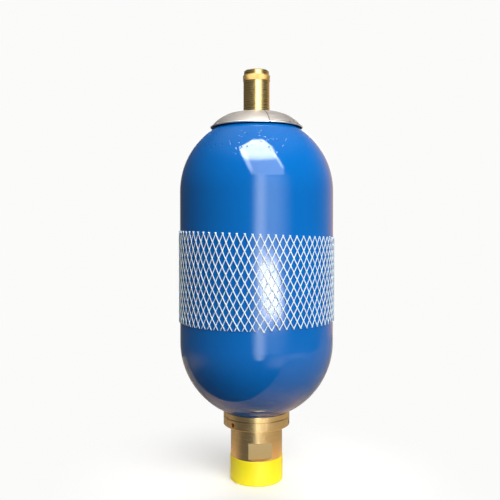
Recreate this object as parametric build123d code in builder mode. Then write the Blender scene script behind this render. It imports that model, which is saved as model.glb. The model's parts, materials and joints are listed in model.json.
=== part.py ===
from build123d import *
from math import acos, cos, degrees, radians, sin, sqrt, tan
import os

# A bladder accumulator, standing on the transport cap of its oil port with the gas valve up.
# Millimetres. The origin is the bottom centre of the transport cap, +Z is the axis of the vessel,
# and -Y is the front, which the first spanner flat of the port body faces.
# Threads are turned plain at their major diameter.

# Play between pieces
thread_play = 0.05
slide_play = 0.05
seal_play = 0.1
flange_play = 0.5
contact_gap = 0.2

# Bevels
small_bevel = 0.2
edge_bevel = 0.4
nut_bevel = 0.5
valve_thread_bevel = 0.8
stem_bevel = 1.0
port_thread_bevel = 1.5

# Transport cap of the oil port
transport_cap_height = 24.5
transport_cap_wall = 2.3
transport_cap_floor = 2.5
transport_cap_rounding = 2.0

# Port body
port_thread_radius = 23.9
port_bore_radius = 17.5
barrel_radius = 25.7
barrel_length = 31.0
nut_thread_radius = 27.0
flange_height = 6.0
seat_depth = 4.5
spanner_flat_width = 46.0
spanner_flat_height = 15.5
spanner_flat_run_out = 1.8
spanner_flat_ledge = 0.5
hub_radius = 9.0
hub_height = 16.0
hub_below_flange = 22.5
web_width = 5.0
web_count = 3
web_inset = 2.0
web_root = 1.0
relief_depth = 1.2
relief_length = 3.0

# Ring nut and spacer ring
ring_nut_radius = 33.0
ring_nut_height = 8.8
spanner_hole_radius = 2.5
spanner_hole_depth = 4.5
spanner_hole_count = 3
spanner_hole_angle = 8.0
spacer_band_height = 5.6
spacer_sleeve_root = 1.0

# Shell
shell_radius = 76.0
shell_wall = 13.0
shell_straight_length = 148.6
port_end_radius = 33.0
port_neck_radius = 30.5
port_neck_length = 18.0
shoulder_radius = 41.0
end_wall = 18.0
gas_flat_radius = 24.0
gas_seat_margin = 1.0

# Seals between port body and shell
washer_height = 2.5
backup_ring_height = 2.5
seal_groove_height = 3.5
support_ring_height = 8.0
support_ring_width = 8.0
half_ring_gap = 1.0
fairing_width = 4.5
fairing_foot = 3.0
fairing_lip = 1.5
fairing_rise = 5.0

# Poppet
poppet_travel = 9.0
poppet_stem_radius = 5.0
poppet_head_radius = 24.0
poppet_rim_height = 2.0
poppet_crown_height = 6.0
bush_radius = 8.0
bush_height = 8.0
poppet_nut_flats = 14.0
poppet_nut_height = 8.0
poppet_stem_tip = 2.0
poppet_stem_bevel = 1.0
spring_wire_radius = 0.8
spring_turns = 5

# Bladder and gas stem
bladder_wall = 2.5
bladder_gap = 4.5
bladder_above_poppet = 4.0
stem_radius = 11.0
stem_bore_radius = 4.0
foot_radius = 17.0
foot_height = 5.0
gas_end_wall = 15.0
stem_above_plate = 8.5
stem_o_ring_radius = 1.25
lock_nut_flats = 30.0
lock_nut_height = 5.75

# Nameplate ring
plate_thickness = 0.8
plate_rim_radius = 46.0
plate_flat_radius = 18.5
plate_dome_radius = 36.0
plate_above_shell = 3.5
plate_bead_radius = 0.7
plate_seam_width = 0.5
plate_seam_angle = 7.0

# Charging valve and its cap
valve_thread_radius = 7.0
valve_shank_length = 14.0
valve_hexagon_flats = 17.0
valve_hexagon_height = 5.0
valve_chamber_radius = 4.5
valve_throat_radius = 3.0
valve_pin_radius = 1.3
valve_head_radius = 4.0
valve_head_height = 3.0
valve_seal_height = 1.5
valve_pin_below_top = 2.0
retainer_height = 3.0
retainer_bore_radius = 1.8
valve_spring_wire_radius = 0.4
valve_spring_length = 11.0
valve_spring_turns = 5
gas_cap_radius = 13.0
gas_cap_height = 41.7
gas_cap_crown = 4.3
gas_cap_above_valve = 3.5
gas_cap_head_radius = 12.4
gas_cap_head_height = 4.7
gas_cap_head_bevel = 1.0
gas_cap_grip_radius = 13.4
gas_cap_grip_height = 6.1

# Protection net
net_bottom_height = 159.0
net_height = 87.0
net_thickness = 1.4
net_strand = 2.6
net_columns = 30
net_rows = 5
net_cut_reach = 2.0

# Heights of the port end, from the ground up
port_end_z = transport_cap_floor
barrel_z = transport_cap_height
ring_nut_z = barrel_z + barrel_length
spacer_z = ring_nut_z + ring_nut_height
shell_end_z = spacer_z + spacer_band_height
shoulder_z = shell_end_z + port_neck_length
flange_z = shoulder_z + support_ring_height
flange_top_z = flange_z + flange_height
seat_z = flange_top_z - seat_depth
hub_top_z = flange_top_z - hub_below_flange
hub_z = hub_top_z - hub_height

# The sphere of each shell end stands on its machined flat
port_sphere_z = shell_end_z + sqrt(shell_radius**2 - port_end_radius**2)
gas_sphere_z = port_sphere_z + shell_straight_length
gas_flat_z = gas_sphere_z + sqrt(shell_radius**2 - gas_flat_radius**2)
cavity_radius = shell_radius - shell_wall
cavity_depth = shell_radius - end_wall
gas_seat_z = gas_flat_z - gas_end_wall

# Poppet at rest, held open by its spring
poppet_bottom_z = seat_z + contact_gap + poppet_travel
poppet_rim_z = poppet_bottom_z + poppet_head_radius - port_bore_radius
poppet_top_z = poppet_rim_z + poppet_rim_height + poppet_crown_height
bush_z = hub_z - bush_height
poppet_nut_z = bush_z - poppet_nut_height
poppet_stem_z = poppet_nut_z - poppet_stem_tip

# Heights of the gas end
lock_nut_z = gas_flat_z
plate_z = lock_nut_z + lock_nut_height
gas_cap_z = plate_z + plate_thickness
gas_cap_top_z = gas_cap_z + gas_cap_height
stem_top_z = gas_cap_z + stem_above_plate
foot_top_z = gas_seat_z - bladder_wall
foot_z = foot_top_z - foot_height
valve_top_z = gas_cap_top_z - gas_cap_crown - gas_cap_above_valve
valve_z = stem_top_z - valve_shank_length
valve_pin_head_z = valve_z + retainer_height + valve_spring_length
valve_chamber_top_z = valve_pin_head_z + valve_head_height + valve_seal_height

os.makedirs("parts", exist_ok=True)


def section(*points):
    """A closed outline of (radius, height) points in the plane through the axis."""
    with BuildSketch(Plane.XZ) as outline:
        with BuildLine():
            Polyline(*points, close=True)
        make_face()
    return outline.sketch


def disc(radius, height):
    """A circle about the axis at a height."""
    with BuildSketch(Plane.XY.offset(height)) as circle:
        Circle(radius)
    return circle.sketch


def domed_section(radius, depth, low_z, high_z):
    """Half the outline of a straight wall from low_z to high_z with an elliptical dome at each end."""
    with BuildSketch(Plane.XZ) as outline:
        with BuildLine():
            EllipticalCenterArc((0, low_z), radius, depth, start_angle=-90, arc_size=90)
            Line((radius, low_z), (radius, high_z))
            EllipticalCenterArc((0, high_z), radius, depth, start_angle=0, arc_size=90)
            Line((0, high_z + depth), (0, low_z - depth))
        make_face()
    return outline.sketch


def ring_section(inner_radius, outer_radius, low_z, high_z, bevel):
    """A turned ring's section with both outer corners bevelled."""
    return section(
        (inner_radius, low_z),
        (outer_radius - bevel, low_z),
        (outer_radius, low_z + bevel),
        (outer_radius, high_z - bevel),
        (outer_radius - bevel, high_z),
        (inner_radius, high_z),
    )


def hexagon_nut(flats, low_z, height, bore_radius):
    """A hexagon nut with its corners turned off at 30 degrees."""
    corner_radius = flats / 2 / cos(radians(30))
    turned = (corner_radius - flats / 2) * tan(radians(30))
    with BuildPart() as nut:
        with BuildSketch(Plane.XY.offset(low_z)):
            RegularPolygon(flats / 2, 6, major_radius=False)
            Circle(bore_radius, mode=Mode.SUBTRACT)
        extrude(amount=height)
        revolve(
            section(
                (0, low_z),
                (flats / 2, low_z),
                (corner_radius, low_z + turned),
                (corner_radius, low_z + height - turned),
                (flats / 2, low_z + height),
                (0, low_z + height),
            ),
            axis=Axis.Z,
            mode=Mode.INTERSECT,
        )
    return nut.part


def ground_spring(low_z, high_z, coil_radius, wire_radius, turns):
    """A compression spring, its ends ground flat at low_z and high_z."""
    length = high_z - low_z
    with BuildPart() as spring:
        with BuildLine():
            coil = Helix(length / turns, length, coil_radius, center=(0, 0, low_z))
        with BuildSketch(Plane(origin=coil @ 0, z_dir=coil % 0)):
            Circle(wire_radius)
        sweep(path=coil, is_frenet=True)
        with BuildSketch(Plane.XY.offset(low_z)):
            Circle(coil_radius + 2 * wire_radius)
        extrude(amount=length, mode=Mode.INTERSECT)
    return spring.part


def save(part, name):
    """Label a finished piece and write it."""
    part.label = name
    export_step(part, f"parts/{name}.step")


# Shell: one forging with spherical ends, a wide neck for the oil port below and a narrow one above
port_end_angle = degrees(acos(port_end_radius / shell_radius))
gas_flat_angle = degrees(acos(gas_flat_radius / shell_radius))
stem_hole_radius = stem_radius + 2 * seal_play
stem_seal_radius = stem_hole_radius + 2 * stem_o_ring_radius + seal_play
stem_seal_depth = 2 * stem_o_ring_radius + seal_play
gas_seat_radius = foot_radius + bladder_wall + gas_seat_margin
with BuildPart() as shell:
    with BuildSketch(Plane.XZ):
        with BuildLine():
            CenterArc((0, port_sphere_z), shell_radius, -port_end_angle, port_end_angle)
            Line((shell_radius, port_sphere_z), (shell_radius, gas_sphere_z))
            CenterArc((0, gas_sphere_z), shell_radius, 0, gas_flat_angle)
            Polyline(
                (gas_flat_radius, gas_flat_z),
                (0, gas_flat_z),
                (0, shell_end_z),
                (port_end_radius, shell_end_z),
            )
        make_face()
    revolve(axis=Axis.Z)
    revolve(
        domed_section(cavity_radius, cavity_depth, port_sphere_z, gas_sphere_z),
        axis=Axis.Z,
        mode=Mode.SUBTRACT,
    )
    extrude(disc(port_neck_radius, shell_end_z), amount=port_neck_length, mode=Mode.SUBTRACT)
    extrude(
        disc(shoulder_radius, shoulder_z),
        amount=port_sphere_z - shoulder_z,
        mode=Mode.SUBTRACT,
    )
    extrude(disc(gas_seat_radius, gas_seat_z), amount=gas_sphere_z - gas_seat_z, mode=Mode.SUBTRACT)
    extrude(disc(stem_hole_radius, gas_seat_z), amount=gas_end_wall, mode=Mode.SUBTRACT)
    extrude(disc(stem_seal_radius, gas_flat_z), amount=-stem_seal_depth, mode=Mode.SUBTRACT)
save(shell.part, "shell")

# Port body: thread, barrel with two spanner flats, nut thread and inner flange in one turned piece,
# with a hub on webs in its bore that guides the poppet's stem. The cutter ran out of each flat on a
# slope at its lower end
flange_radius = port_neck_radius - flange_play
flat_z = barrel_z + spanner_flat_ledge
flat_top_z = flat_z + spanner_flat_run_out + spanner_flat_height
with BuildPart() as port_body:
    revolve(
        section(
            (port_bore_radius, port_end_z),
            (port_thread_radius - port_thread_bevel, port_end_z),
            (port_thread_radius, port_end_z + port_thread_bevel),
            (port_thread_radius, barrel_z - relief_length),
            (port_thread_radius - relief_depth, barrel_z - relief_length),
            (port_thread_radius - relief_depth, barrel_z),
            (barrel_radius, barrel_z),
            (barrel_radius, ring_nut_z),
            (nut_thread_radius, ring_nut_z),
            (nut_thread_radius, flange_z),
            (flange_radius, flange_z),
            (flange_radius, flange_top_z),
            (port_bore_radius + seat_depth, flange_top_z),
            (port_bore_radius, seat_z),
        ),
        axis=Axis.Z,
    )
    with BuildSketch(Plane.XY.offset(hub_z)):
        Circle(hub_radius)
    extrude(amount=hub_height)
    with BuildSketch(Plane.XY.offset(hub_z + web_inset)):
        with PolarLocations(0, web_count, start_angle=90):
            Rectangle(port_bore_radius + web_root, web_width, align=(Align.MIN, Align.CENTER))
    extrude(amount=hub_height - 2 * web_inset)
    with Locations((0, 0, hub_top_z)):
        Hole(poppet_stem_radius + slide_play, hub_height)
    with BuildSketch(Plane.YZ):
        for side in (-1, 1):
            with BuildLine():
                Polyline(
                    (side * barrel_radius, flat_z),
                    (side * spanner_flat_width / 2, flat_z + spanner_flat_run_out),
                    (side * spanner_flat_width / 2, flat_top_z),
                    (side * nut_thread_radius, flat_top_z),
                    (side * nut_thread_radius, flat_z),
                    close=True,
                )
            make_face()
    extrude(amount=barrel_radius, both=True, mode=Mode.SUBTRACT)
save(port_body.part, "port_body")

# Transport cap: a moulded cup over the port's thread, its mouth against the barrel
transport_bore_radius = port_thread_radius + thread_play
transport_cap_radius = transport_bore_radius + transport_cap_wall
with BuildPart() as thread_cap:
    extrude(disc(transport_cap_radius, 0), amount=transport_cap_height)
    fillet(thread_cap.edges().group_by(Axis.Z)[0], transport_cap_rounding)
    fillet(thread_cap.edges().group_by(Axis.Z)[-1], edge_bevel)
    with Locations((0, 0, transport_cap_height)):
        Hole(transport_bore_radius, transport_cap_height - transport_cap_floor)
save(thread_cap.part, "thread_cap")

# Ring nut: three blind holes round it take a pin spanner
nut_bore_radius = nut_thread_radius + thread_play
with BuildPart() as ring_nut:
    revolve(
        ring_section(nut_bore_radius, ring_nut_radius, ring_nut_z, spacer_z, nut_bevel),
        axis=Axis.Z,
    )
    floor_radius = ring_nut_radius - spanner_hole_depth
    for hole in range(spanner_hole_count):
        around = radians(90 + spanner_hole_angle + hole * 360 / spanner_hole_count)
        outward = (cos(around), sin(around), 0)
        floor = (floor_radius * outward[0], floor_radius * outward[1], (ring_nut_z + spacer_z) / 2)
        with BuildSketch(Plane(origin=floor, z_dir=outward)):
            Circle(spanner_hole_radius)
        extrude(amount=2 * spanner_hole_depth, mode=Mode.SUBTRACT)
save(ring_nut.part, "ring_nut")

# Spacer ring: the band that shows above the nut, with a sleeve that reaches up the shell's neck
backup_ring_z = shoulder_z - washer_height - seal_groove_height - backup_ring_height
neck_fit_radius = port_neck_radius - seal_play
with BuildPart() as spacer_ring:
    revolve(
        ring_section(nut_bore_radius, ring_nut_radius, spacer_z, shell_end_z, edge_bevel),
        axis=Axis.Z,
    )
    revolve(
        section(
            (nut_bore_radius, shell_end_z - spacer_sleeve_root),
            (neck_fit_radius, shell_end_z - spacer_sleeve_root),
            (neck_fit_radius, backup_ring_z),
            (nut_bore_radius, backup_ring_z),
        ),
        axis=Axis.Z,
    )
save(spacer_ring.part, "spacer_ring")

# Backup ring, O-ring and steel washer, one above the other in the neck
groove_z = backup_ring_z + backup_ring_height
washer_z = groove_z + seal_groove_height
with BuildPart() as backup_ring:
    revolve(
        ring_section(nut_bore_radius, neck_fit_radius, backup_ring_z, groove_z, small_bevel),
        axis=Axis.Z,
    )
save(backup_ring.part, "backup_ring")

seal_radius = (port_neck_radius - nut_thread_radius) / 2 - seal_play
with BuildPart() as port_o_ring:
    with BuildSketch(Plane.XZ):
        with Locations(((port_neck_radius + nut_thread_radius) / 2, groove_z + seal_radius)):
            Circle(seal_radius)
    revolve(axis=Axis.Z)
save(port_o_ring.part, "port_o_ring")

with BuildPart() as steel_washer:
    revolve(
        ring_section(nut_bore_radius, neck_fit_radius, washer_z, shoulder_z, small_bevel),
        axis=Axis.Z,
    )
save(steel_washer.part, "steel_washer")

# Support ring: two steel half rings carry the flange, and a rubber fairing fills the step beside it
support_bore_radius = nut_thread_radius + 2 * seal_play
support_radius = nut_thread_radius + support_ring_width
with BuildPart() as support_half_rings:
    revolve(
        ring_section(support_bore_radius, support_radius, shoulder_z, flange_z, edge_bevel),
        axis=Axis.Z,
    )
    with BuildSketch(Plane.XY.offset(shoulder_z)):
        Rectangle(2 * shoulder_radius, half_ring_gap)
    extrude(amount=support_ring_height, mode=Mode.SUBTRACT)
save(support_half_rings.part, "support_half_rings")

fairing_radius = support_radius + fairing_width
with BuildPart() as support_ring_rubber:
    revolve(
        section(
            (support_radius + seal_play, shoulder_z),
            (fairing_radius, shoulder_z),
            (fairing_radius, shoulder_z + fairing_foot),
            (flange_radius + fairing_lip, flange_z + fairing_rise),
            (flange_radius + seal_play, flange_z + fairing_rise),
            (flange_radius + seal_play, flange_z),
            (support_radius + seal_play, flange_z),
        ),
        axis=Axis.Z,
    )
save(support_ring_rubber.part, "support_ring_rubber")

# Poppet: its cone closes on the port body's seat when the bladder presses it down
crown_z = poppet_rim_z + poppet_rim_height
crown_sphere_radius = (poppet_head_radius**2 + poppet_crown_height**2) / (2 * poppet_crown_height)
with BuildPart() as poppet:
    with BuildSketch(Plane.XZ):
        with BuildLine():
            Polyline(
                (0, poppet_top_z),
                (0, poppet_stem_z),
                (poppet_stem_radius - poppet_stem_bevel, poppet_stem_z),
                (poppet_stem_radius, poppet_stem_z + poppet_stem_bevel),
                (poppet_stem_radius, poppet_bottom_z),
                (port_bore_radius, poppet_bottom_z),
                (poppet_head_radius, poppet_rim_z),
                (poppet_head_radius, crown_z),
            )
            RadiusArc((poppet_head_radius, crown_z), (0, poppet_top_z), -crown_sphere_radius)
        make_face()
    revolve(axis=Axis.Z)
save(poppet.part, "poppet")

# Damping bush and lock nut at the lower end of the poppet's stem
stem_fit_radius = poppet_stem_radius + thread_play
with BuildPart() as damping_bush:
    revolve(ring_section(stem_fit_radius, bush_radius, bush_z, hub_z, nut_bevel), axis=Axis.Z)
save(damping_bush.part, "damping_bush")

save(hexagon_nut(poppet_nut_flats, poppet_nut_z, poppet_nut_height, stem_fit_radius), "poppet_lock_nut")

# Poppet spring, between the hub and the poppet's head
spring_coil_radius = hub_radius - 2 * spring_wire_radius
save(
    ground_spring(hub_top_z, poppet_bottom_z, spring_coil_radius, spring_wire_radius, spring_turns),
    "poppet_spring",
)

# Gas stem: its foot is moulded into the bladder's neck, its thread passes up through the shell
with BuildPart() as bladder_stem:
    revolve(
        section(
            (stem_bore_radius, foot_z),
            (foot_radius, foot_z),
            (foot_radius, foot_top_z),
            (stem_radius, foot_top_z),
            (stem_radius, stem_top_z - stem_bevel),
            (stem_radius - stem_bevel, stem_top_z),
            (valve_thread_radius + thread_play, stem_top_z),
            (valve_thread_radius + thread_play, valve_z),
            (stem_bore_radius, valve_z),
        ),
        axis=Axis.Z,
    )
save(bladder_stem.part, "bladder_stem")

# Bladder: a moulded bag with an even wall, hanging from its neck round the stem's foot
bladder_radius = cavity_radius - bladder_gap
bladder_depth = cavity_depth - bladder_gap
bladder_low_z = poppet_top_z + bladder_above_poppet + bladder_depth
with BuildPart() as bladder:
    revolve(
        domed_section(bladder_radius, bladder_depth, bladder_low_z, gas_sphere_z),
        axis=Axis.Z,
    )
    extrude(disc(foot_radius + bladder_wall, gas_sphere_z), amount=gas_seat_z - gas_sphere_z)
    revolve(
        domed_section(
            bladder_radius - bladder_wall,
            bladder_depth - bladder_wall,
            bladder_low_z,
            gas_sphere_z,
        ),
        axis=Axis.Z,
        mode=Mode.SUBTRACT,
    )
    extrude(disc(foot_radius, gas_sphere_z), amount=foot_top_z - gas_sphere_z, mode=Mode.SUBTRACT)
    extrude(disc(stem_radius, foot_top_z), amount=bladder_wall, mode=Mode.SUBTRACT)
save(bladder.part, "bladder")

# Stem seal and lock nut on the shell's upper flat
with BuildPart() as stem_o_ring:
    with BuildSketch(Plane.XZ):
        with Locations(
            (
                stem_hole_radius + stem_o_ring_radius,
                gas_flat_z - stem_seal_depth + stem_o_ring_radius,
            )
        ):
            Circle(stem_o_ring_radius)
    revolve(axis=Axis.Z)
save(stem_o_ring.part, "stem_o_ring")

save(
    hexagon_nut(lock_nut_flats, lock_nut_z, lock_nut_height, stem_radius + thread_play),
    "stem_lock_nut",
)

# Nameplate ring: thin sheet domed like the shell below it, with a rolled rim and one radial seam
plate_rim_z = gas_sphere_z + sqrt(shell_radius**2 - plate_rim_radius**2) + plate_above_shell
with BuildPart() as nameplate_ring:
    with BuildSketch(Plane.XZ):
        with BuildLine():
            Line((stem_radius + 2 * thread_play, gas_cap_z), (plate_flat_radius, gas_cap_z))
            RadiusArc(
                (plate_flat_radius, gas_cap_z),
                (plate_rim_radius - plate_bead_radius, plate_rim_z),
                plate_dome_radius,
            )
            offset(amount=plate_thickness, side=Side.RIGHT, mode=Mode.REPLACE)
        make_face()
        with Locations((plate_rim_radius - plate_bead_radius, plate_rim_z)):
            Circle(plate_bead_radius)
    revolve(axis=Axis.Z)
    with BuildSketch(Plane.XY.offset(plate_rim_z - 2 * plate_bead_radius)):
        with PolarLocations(plate_flat_radius, 1, start_angle=plate_seam_angle - 90):
            Rectangle(plate_rim_radius, plate_seam_width, align=(Align.MIN, Align.CENTER))
    extrude(amount=gas_cap_z - plate_rim_z + 3 * plate_bead_radius, mode=Mode.SUBTRACT)
save(nameplate_ring.part, "nameplate_ring")

# Charging valve: body, pin with its seal, spring and retainer
with BuildPart() as charging_valve_body:
    add(hexagon_nut(valve_hexagon_flats, stem_top_z, valve_hexagon_height, valve_chamber_radius))
    revolve(
        section(
            (valve_chamber_radius, valve_z),
            (valve_thread_radius - valve_thread_bevel, valve_z),
            (valve_thread_radius, valve_z + valve_thread_bevel),
            (valve_thread_radius, valve_top_z - valve_thread_bevel),
            (valve_thread_radius - valve_thread_bevel, valve_top_z),
            (valve_throat_radius, valve_top_z),
            (valve_throat_radius, valve_chamber_top_z),
            (valve_chamber_radius, valve_chamber_top_z),
        ),
        axis=Axis.Z,
    )
save(charging_valve_body.part, "charging_valve_body")

valve_pin_top_z = valve_top_z - valve_pin_below_top
with BuildPart() as charging_valve_pin:
    revolve(
        section(
            (0, valve_pin_head_z),
            (valve_head_radius, valve_pin_head_z),
            (valve_head_radius, valve_pin_head_z + valve_head_height),
            (valve_pin_radius, valve_pin_head_z + valve_head_height),
            (valve_pin_radius, valve_pin_top_z - edge_bevel),
            (valve_pin_radius - edge_bevel, valve_pin_top_z),
            (0, valve_pin_top_z),
        ),
        axis=Axis.Z,
    )
save(charging_valve_pin.part, "charging_valve_pin")

with BuildPart() as charging_valve_seal:
    revolve(
        ring_section(
            valve_pin_radius + thread_play,
            valve_head_radius,
            valve_pin_head_z + valve_head_height,
            valve_chamber_top_z,
            small_bevel,
        ),
        axis=Axis.Z,
    )
save(charging_valve_seal.part, "charging_valve_seal")

valve_spring_z = valve_z + retainer_height
save(
    ground_spring(
        valve_spring_z,
        valve_pin_head_z,
        valve_chamber_radius - 3 * valve_spring_wire_radius,
        valve_spring_wire_radius,
        valve_spring_turns,
    ),
    "charging_valve_spring",
)

with BuildPart() as charging_valve_retainer:
    revolve(
        ring_section(
            retainer_bore_radius,
            valve_chamber_radius - thread_play,
            valve_z,
            valve_spring_z,
            edge_bevel,
        ),
        axis=Axis.Z,
    )
save(charging_valve_retainer.part, "charging_valve_retainer")

# Gas valve cap: turned from bar, with a raised grip band under its head and a bore over the valve
head_z = gas_cap_top_z - gas_cap_head_height
grip_z = head_z - gas_cap_grip_height
gas_cap_bore_radius = stem_radius + thread_play
gas_cap_inside_z = gas_cap_top_z - gas_cap_crown
with BuildPart() as gas_valve_cap:
    revolve(
        section(
            (0, gas_cap_inside_z),
            (gas_cap_bore_radius, gas_cap_inside_z),
            (gas_cap_bore_radius, gas_cap_z),
            (gas_cap_radius - edge_bevel, gas_cap_z),
            (gas_cap_radius, gas_cap_z + edge_bevel),
            (gas_cap_radius, grip_z),
            (gas_cap_grip_radius, grip_z + edge_bevel),
            (gas_cap_grip_radius, head_z - edge_bevel),
            (gas_cap_head_radius, head_z),
            (gas_cap_head_radius, gas_cap_top_z - gas_cap_head_bevel),
            (gas_cap_head_radius - gas_cap_head_bevel, gas_cap_top_z),
            (0, gas_cap_top_z),
        ),
        axis=Axis.Z,
    )
save(gas_valve_cap.part, "gas_valve_cap")

# Protection net: a welded plastic mesh drawn over the shell. Its staggered diamonds are cut through
# one wall, and the half diamonds along both edges leave it pointed there
net_inner_radius = shell_radius + seal_play
net_outer_radius = net_inner_radius + net_thickness
row_step = net_height / net_rows
column_step = 360 / net_columns
mesh_width = 2 * net_outer_radius * sin(radians(column_step / 2))
half_width = (mesh_width - net_strand) / 2
half_height = row_step * half_width / (mesh_width / 2)
with BuildPart() as net_sleeve:
    with BuildSketch(Plane.XY.offset(net_bottom_height)):
        Circle(net_outer_radius)
        Circle(net_inner_radius, mode=Mode.SUBTRACT)
    extrude(amount=net_height)
    for row in range(net_rows + 1):
        planes = []
        for column in range(net_columns):
            around = radians((column + row % 2 / 2) * column_step)
            outward = (cos(around), sin(around), 0)
            start = net_inner_radius - net_cut_reach
            planes.append(
                Plane(
                    origin=(start * outward[0], start * outward[1], net_bottom_height + row * row_step),
                    x_dir=(-outward[1], outward[0], 0),
                    z_dir=outward,
                )
            )
        with BuildSketch(*planes):
            with BuildLine():
                Polyline(
                    (half_width, 0),
                    (0, half_height),
                    (-half_width, 0),
                    (0, -half_height),
                    close=True,
                )
            make_face()
        extrude(amount=net_thickness + 2 * net_cut_reach, mode=Mode.SUBTRACT)
save(net_sleeve.part, "net_sleeve")
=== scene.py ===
# %% [markdown]
# # A bladder accumulator, dressed in Blender
# A hydraulic accumulator is a steel pressure vessel that stores oil against a bag of gas. The solids
# come packed from CAD and stay as they are. This lesson gives them their finishes, adds the pieces
# that are too fine for CAD, and sets up a small studio. Everything is in metres, on the CAD's frame.

import json
from math import atan, atan2, cos, hypot, pi, radians, sin

import bmesh
import bpy
from mathutils import Matrix, Vector, noise

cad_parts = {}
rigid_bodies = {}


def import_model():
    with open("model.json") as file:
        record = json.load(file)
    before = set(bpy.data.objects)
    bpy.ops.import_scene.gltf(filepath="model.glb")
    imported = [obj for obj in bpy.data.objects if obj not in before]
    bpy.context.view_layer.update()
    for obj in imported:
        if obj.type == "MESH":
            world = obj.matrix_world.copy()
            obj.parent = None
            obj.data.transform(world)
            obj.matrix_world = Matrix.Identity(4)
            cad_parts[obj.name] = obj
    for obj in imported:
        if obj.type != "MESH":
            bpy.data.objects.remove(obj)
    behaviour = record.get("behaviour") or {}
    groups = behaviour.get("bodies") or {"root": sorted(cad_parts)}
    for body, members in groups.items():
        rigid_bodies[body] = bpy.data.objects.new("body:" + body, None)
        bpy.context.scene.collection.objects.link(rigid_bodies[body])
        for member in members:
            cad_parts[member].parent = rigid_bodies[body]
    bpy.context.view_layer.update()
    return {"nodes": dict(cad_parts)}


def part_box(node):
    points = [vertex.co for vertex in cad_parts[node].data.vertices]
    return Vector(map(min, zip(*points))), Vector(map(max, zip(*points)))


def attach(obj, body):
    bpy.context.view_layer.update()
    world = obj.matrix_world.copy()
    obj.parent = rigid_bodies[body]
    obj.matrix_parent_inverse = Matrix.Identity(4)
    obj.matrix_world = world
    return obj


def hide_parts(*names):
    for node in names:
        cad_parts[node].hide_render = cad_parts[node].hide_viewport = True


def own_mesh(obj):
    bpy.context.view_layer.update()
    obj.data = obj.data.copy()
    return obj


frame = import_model()
scene = bpy.context.scene
millimetre = 0.001

# %% [markdown]
# The camera comes first, because the lights are placed from where it stands. The photograph was taken
# from a little to the left of the vessel's front, at about two thirds of its height and 0.68 m away,
# looking down by one degree, and a small shift of the frame does the rest. A camera can be aimed by a
# constraint or by its own rotation. A rotation worked out from the aim point needs no constraint.

# %% Camera
camera_azimuth = -9.0
camera_distance = 0.68
camera_height = 0.253
aim_height = 0.2411
aim_left_of_axis = 0.0065
frame_shift = -0.024
focal_pixels = 680
picture_pixels = 500


def seen_from(azimuth, distance, height):
    """A point round the vessel's axis: azimuth in degrees to the right of the camera."""
    bearing = radians(camera_azimuth + azimuth)
    return Vector((distance * sin(bearing), -distance * cos(bearing), height))


camera_data = bpy.data.cameras.new("camera")
camera_data.sensor_width = 36.0
camera_data.lens = camera_data.sensor_width * focal_pixels / picture_pixels
camera_data.shift_y = frame_shift
camera = bpy.data.objects.new("camera", camera_data)
scene.collection.objects.link(camera)
scene.camera = camera
aim = seen_from(-90, aim_left_of_axis, aim_height)
camera.location = seen_from(0, camera_distance, camera_height)
camera.rotation_euler = (aim - camera.location).to_track_quat("-Z", "Y").to_euler()
print("Camera lens:", round(camera_data.lens, 2), "mm")

# %% [markdown]
# Colours are kept as the hex values that a paint or plastic card would give. Those are sRGB, and the
# shader wants linear light, so one function turns them. A second function adds a shader node with its
# settings and links, which keeps each material down to the steps that make its look.

# %% Helpers for materials


def linear(hex_colour):
    """Linear RGBA of an sRGB hex colour."""
    channels = [int(hex_colour[i : i + 2], 16) / 255 for i in (1, 3, 5)]
    return [c / 12.92 if c <= 0.04045 else ((c + 0.055) / 1.055) ** 2.4 for c in channels] + [1.0]


def add_node(tree, kind, inputs=None, **settings):
    """Add a node, set its options, and give each named input a value or a link."""
    made = tree.nodes.new(kind)
    for option, value in settings.items():
        setattr(made, option, value)
    for socket, value in (inputs or {}).items():
        if isinstance(value, bpy.types.NodeSocket):
            tree.links.new(value, made.inputs[socket])
        else:
            made.inputs[socket].default_value = value
    return made


def new_material(name):
    """An empty material with its shader, and the Object coordinates that its patterns use."""
    material = bpy.data.materials.new(name)
    material.use_nodes = True
    tree = material.node_tree
    shader = tree.nodes["Principled BSDF"]
    place = add_node(tree, "ShaderNodeTexCoord").outputs["Object"]
    return material, tree, shader, place


def paint_node(node, material):
    """Give a CAD node its finish."""
    for slot in frame["nodes"][node].material_slots:
        slot.material = material


print("The enamel's blue in linear light:", [round(part, 3) for part in linear("#0373c9")])

# %% [markdown]
# The shell is a steel forging with gloss blue enamel sprayed over it. Enamel gives the eye three
# things: a deep blue, a sharp clear reflection on top, and the faint ripple of sprayed paint. The
# forging's rough skin shows through on the upper shoulder as small pits that catch the light. The
# clear reflection is the shader's coat, and ripple and pits are bump, because they are far too
# shallow to change the outline.

# %% Gloss blue enamel on forged steel
ripple_size = 2.2 * millimetre
pit_spacing = 4.2 * millimetre
pits_start_height = 314 * millimetre
pits_full_height = 328 * millimetre
shell_enamel, tree, shader, place = new_material("gloss_blue_enamel_on_forged_steel")
cloud = add_node(
    tree,
    "ShaderNodeTexNoise",
    {"Vector": place, "Scale": 1 / (45 * millimetre), "Detail": 3.0, "Roughness": 0.5},
)
blue = add_node(
    tree,
    "ShaderNodeMix",
    {0: cloud.outputs[0], 6: linear("#0268bd"), 7: linear("#0373c9")},
    data_type="RGBA",
)
ripple = add_node(
    tree,
    "ShaderNodeTexNoise",
    {"Vector": place, "Scale": 1 / ripple_size, "Detail": 2.0},
)
wave = add_node(
    tree,
    "ShaderNodeTexNoise",
    {"Vector": place, "Scale": 1 / (28 * millimetre), "Detail": 1.0},
)
pit = add_node(
    tree,
    "ShaderNodeTexVoronoi",
    {"Vector": place, "Scale": 1 / pit_spacing, "Randomness": 1.0},
    feature="F1",
)
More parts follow.
